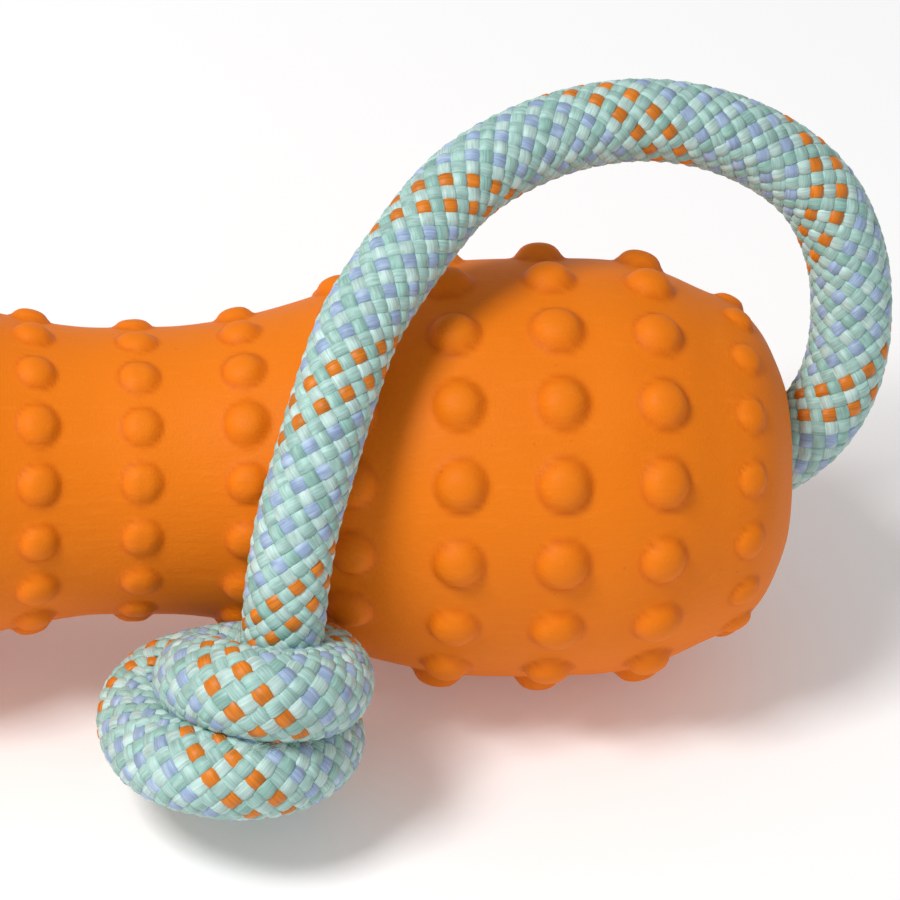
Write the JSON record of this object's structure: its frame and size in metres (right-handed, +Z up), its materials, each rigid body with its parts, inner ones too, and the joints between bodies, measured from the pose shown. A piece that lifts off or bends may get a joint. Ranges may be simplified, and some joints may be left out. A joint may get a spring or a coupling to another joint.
{
  "type": "training bumper",
  "caption": "Hourglass rubber retrieving bumper with nubs, a foam core and a braided throw rope that swivels in its bore and ends in a knot.",
  "frame": {"origin": "under the middle of the body and its stopper knot, on the surface that the bumper lies on", "axes": "+X along the bore towards the end that the throw rope leaves, +Z up, the throw knot on the -Y side"},
  "size_m": [0.248, 0.0907, 0.0889],
  "materials": {
    "body_rubber": "moulded natural rubber, satin, lightly scuffed",
    "core_foam": "closed-cell foam",
    "rope_braid": "plain braid of filament yarn, seafoam with lavender and orange tracers",
    "rope_end": "melted and pressed rope end"
  },
  "bodies": {
    "bumper": {"bumper_body": "body_rubber", "foam_core": "core_foam"},
    "rope": {"rope_bore_run": "rope_braid", "stopper_knot": "rope_braid", "stopper_tail": "rope_braid", "stopper_tail_seal": "rope_end", "rope_span": "rope_braid", "throw_knot": "rope_braid", "rope_tail": "rope_braid", "rope_tail_seal": "rope_end"}
  },
  "joints": [
    {"name": "rope_swivel", "type": "hinge", "parent": "bumper", "child": "rope", "pos_m": [0, 0, 0.033], "axis": [1, 0, 0], "continuous": true}
  ]
}
